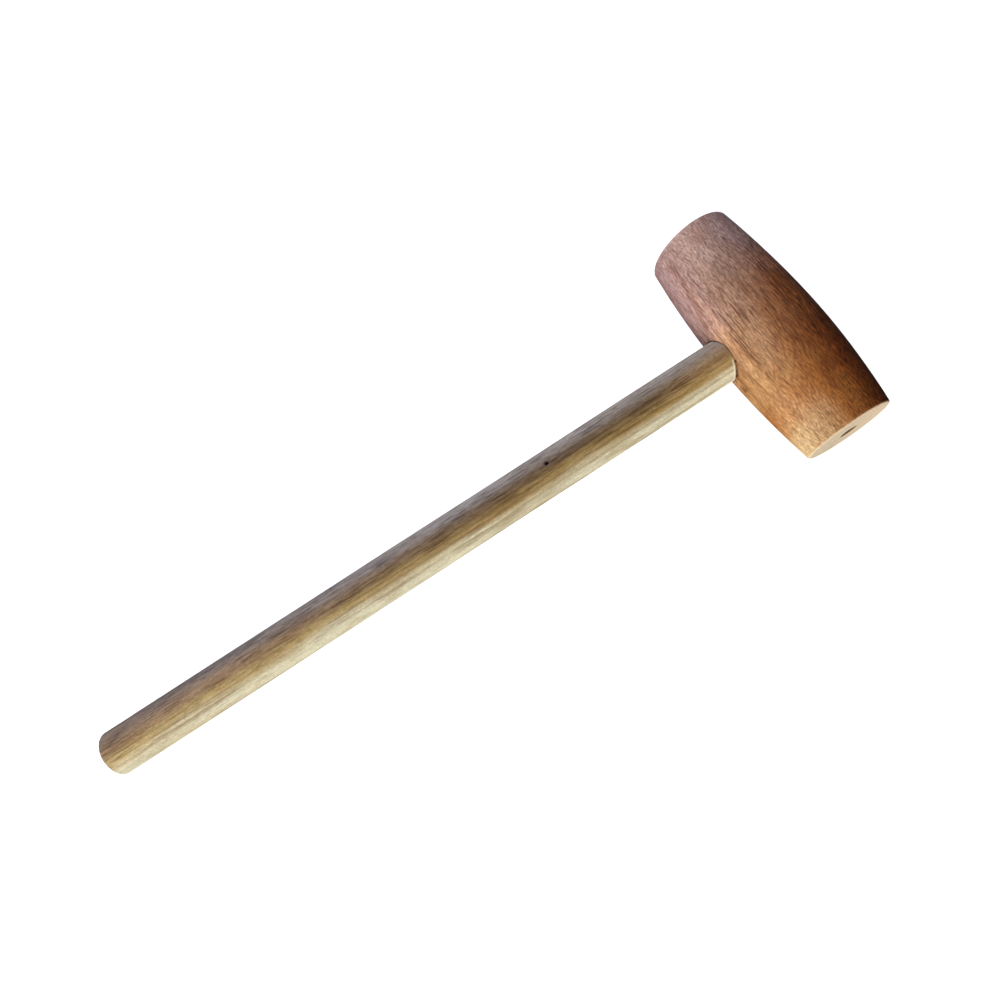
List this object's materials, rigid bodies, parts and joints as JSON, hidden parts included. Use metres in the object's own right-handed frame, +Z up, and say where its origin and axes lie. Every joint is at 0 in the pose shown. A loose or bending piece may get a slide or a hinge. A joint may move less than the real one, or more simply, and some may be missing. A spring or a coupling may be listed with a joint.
{
  "type": "wooden mallet",
  "caption": "Barrel-turned hardwood mallet head on a long plain round dowel handle, fixed by a wedged through tenon.",
  "frame": {"origin": "the centre of the handle's flat butt end", "axes": "+Y up the handle to the head, X along the head from face to face, +Z up when the mallet lies on its side"},
  "size_m": [0.1228, 0.4042, 0.0514],
  "materials": {
    "head_wood": "fine-sanded, unvarnished, open-pored reddish hardwood",
    "handle_wood": "sanded, unvarnished pale straight-grained hardwood dowel",
    "wedge_wood": "sawn and dressed flush, unvarnished pale hardwood"
  },
  "bodies": {
    "root": {"mallet_head": "head_wood", "handle": "handle_wood", "handle_wedge": "wedge_wood"}
  },
  "joints": []
}
